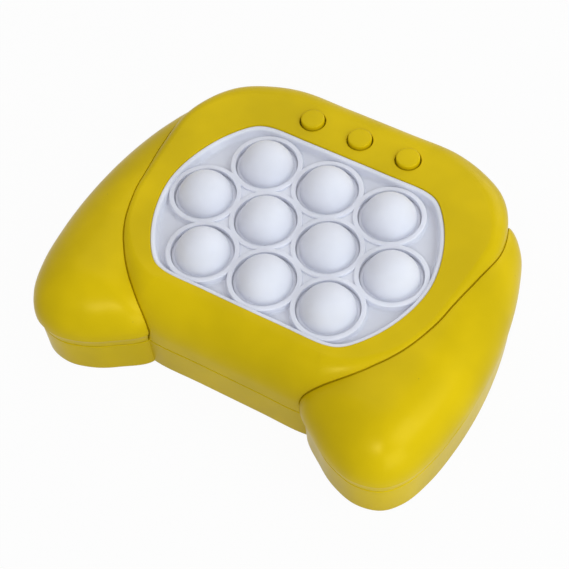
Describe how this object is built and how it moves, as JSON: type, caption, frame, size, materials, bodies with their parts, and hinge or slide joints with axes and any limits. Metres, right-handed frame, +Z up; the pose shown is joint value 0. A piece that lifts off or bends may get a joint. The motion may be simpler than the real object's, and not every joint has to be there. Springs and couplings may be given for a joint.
{
  "type": "electronic quick push game",
  "caption": "Hand-held electronic push game: a yellow case with two grips, a white silicone panel of round bubbles to push in, and a row of small round buttons behind it.",
  "frame": {"origin": "middle of the whole game's box, on the flat underside", "axes": "+X to the player's right, +Y away from the player towards the buttons, +Z up out of the bubbles"},
  "size_m": [0.1492, 0.119, 0.0415],
  "materials": {
    "yellow_plastic": "satin moulded plastic",
    "white_silicone": "soft matt silicone, slightly bluish white",
    "soft_rubber": "soft matt rubber",
    "natural_plastic": "plain moulded plastic",
    "green_board": "solder mask over glass fibre",
    "black_resin": "poured resin",
    "lamp_white": "clear resin over a pale lamp body",
    "screw_steel": "plated steel",
    "speaker_steel": "pressed steel",
    "cone_film": "dark film",
    "battery_jacket": "plain printed jacket, no lettering",
    "contact_steel": "nickel-plated spring steel",
    "red_wire": "wire insulation",
    "black_wire": "wire insulation"
  },
  "bodies": {
    "case": {"upper_shell": "yellow_plastic", "lower_shell": "yellow_plastic", "bubble_panel": "white_silicone", "power_rubber_dome": "soft_rubber", "level_rubber_dome": "soft_rubber", "volume_rubber_dome": "soft_rubber", "panel_retainer": "natural_plastic", "main_board": "green_board", "sound_chip": "black_resin", "lamp_1": "lamp_white", "lamp_2": "lamp_white", "lamp_3": "lamp_white", "lamp_4": "lamp_white", "lamp_5": "lamp_white", "lamp_6": "lamp_white", "lamp_7": "lamp_white", "lamp_8": "lamp_white", "lamp_9": "lamp_white", "lamp_10": "lamp_white", "board_screw_1": "screw_steel", "board_screw_2": "screw_steel", "board_screw_3": "screw_steel", "board_screw_4": "screw_steel", "shell_screw_1": "screw_steel", "shell_screw_2": "screw_steel", "shell_screw_3": "screw_steel", "shell_screw_4": "screw_steel", "shell_screw_5": "screw_steel", "shell_screw_6": "screw_steel", "speaker_basket": "speaker_steel", "speaker_magnet": "speaker_steel", "speaker_cone": "cone_film", "battery_1": "battery_jacket", "battery_2": "battery_jacket", "battery_3": "battery_jacket", "contact_positive": "contact_steel", "contact_bridge_1": "contact_steel", "contact_bridge_2": "contact_steel", "contact_negative": "contact_steel", "battery_lead_positive": "red_wire", "speaker_lead_1": "red_wire", "battery_lead_negative": "black_wire", "speaker_lead_2": "black_wire"},
    "bubble_1": {"bubble_1": "white_silicone"},
    "bubble_2": {"bubble_2": "white_silicone"},
    "bubble_3": {"bubble_3": "white_silicone"},
    "bubble_4": {"bubble_4": "white_silicone"},
    "bubble_5": {"bubble_5": "white_silicone"},
    "bubble_6": {"bubble_6": "white_silicone"},
    "bubble_7": {"bubble_7": "white_silicone"},
    "bubble_8": {"bubble_8": "white_silicone"},
    "bubble_9": {"bubble_9": "white_silicone"},
    "bubble_10": {"bubble_10": "white_silicone"},
    "power_button": {"power_button": "yellow_plastic"},
    "level_button": {"level_button": "yellow_plastic"},
    "volume_button": {"volume_button": "yellow_plastic"},
    "battery_door": {"battery_door": "yellow_plastic", "door_screw": "screw_steel"}
  },
  "joints": [
    {"name": "bubble_1_push", "type": "slide", "parent": "case", "child": "bubble_1", "axis": [0, 0, 1], "range_m": [-0.0045, 0], "stiffness_N_per_m": 600},
    {"name": "bubble_2_push", "type": "slide", "parent": "case", "child": "bubble_2", "axis": [0, 0, 1], "range_m": [-0.0045, 0], "stiffness_N_per_m": 600},
    {"name": "bubble_3_push", "type": "slide", "parent": "case", "child": "bubble_3", "axis": [0, 0, 1], "range_m": [-0.0045, 0], "stiffness_N_per_m": 600},
    {"name": "bubble_4_push", "type": "slide", "parent": "case", "child": "bubble_4", "axis": [0, 0, 1], "range_m": [-0.0045, 0], "stiffness_N_per_m": 600},
    {"name": "bubble_5_push", "type": "slide", "parent": "case", "child": "bubble_5", "axis": [0, 0, 1], "range_m": [-0.0045, 0], "stiffness_N_per_m": 600},
    {"name": "bubble_6_push", "type": "slide", "parent": "case", "child": "bubble_6", "axis": [0, 0, 1], "range_m": [-0.0045, 0], "stiffness_N_per_m": 600},
    {"name": "bubble_7_push", "type": "slide", "parent": "case", "child": "bubble_7", "axis": [0, 0, 1], "range_m": [-0.0045, 0], "stiffness_N_per_m": 600},
    {"name": "bubble_8_push", "type": "slide", "parent": "case", "child": "bubble_8", "axis": [0, 0, 1], "range_m": [-0.0045, 0], "stiffness_N_per_m": 600},
    {"name": "bubble_9_push", "type": "slide", "parent": "case", "child": "bubble_9", "axis": [0, 0, 1], "range_m": [-0.0045, 0], "stiffness_N_per_m": 600},
    {"name": "bubble_10_push", "type": "slide", "parent": "case", "child": "bubble_10", "axis": [0, 0, 1], "range_m": [-0.0045, 0], "stiffness_N_per_m": 600},
    {"name": "power_button_press", "type": "slide", "parent": "case", "child": "power_button", "axis": [0, 0, 1], "range_m": [-0.0012, 0], "stiffness_N_per_m": 900, "deforming": ["power_rubber_dome"]},
    {"name": "level_button_press", "type": "slide", "parent": "case", "child": "level_button", "axis": [0, 0, 1], "range_m": [-0.0012, 0], "stiffness_N_per_m": 900, "deforming": ["level_rubber_dome"]},
    {"name": "volume_button_press", "type": "slide", "parent": "case", "child": "volume_button", "axis": [0, 0, 1], "range_m": [-0.0012, 0], "stiffness_N_per_m": 900, "deforming": ["volume_rubber_dome"]},
    {"name": "battery_door_tip", "type": "hinge", "parent": "case", "child": "battery_door", "pos_m": [-0.0253, -0.01138, 0], "axis": [0, 1, 0], "range_deg": [0, 35]}
  ]
}
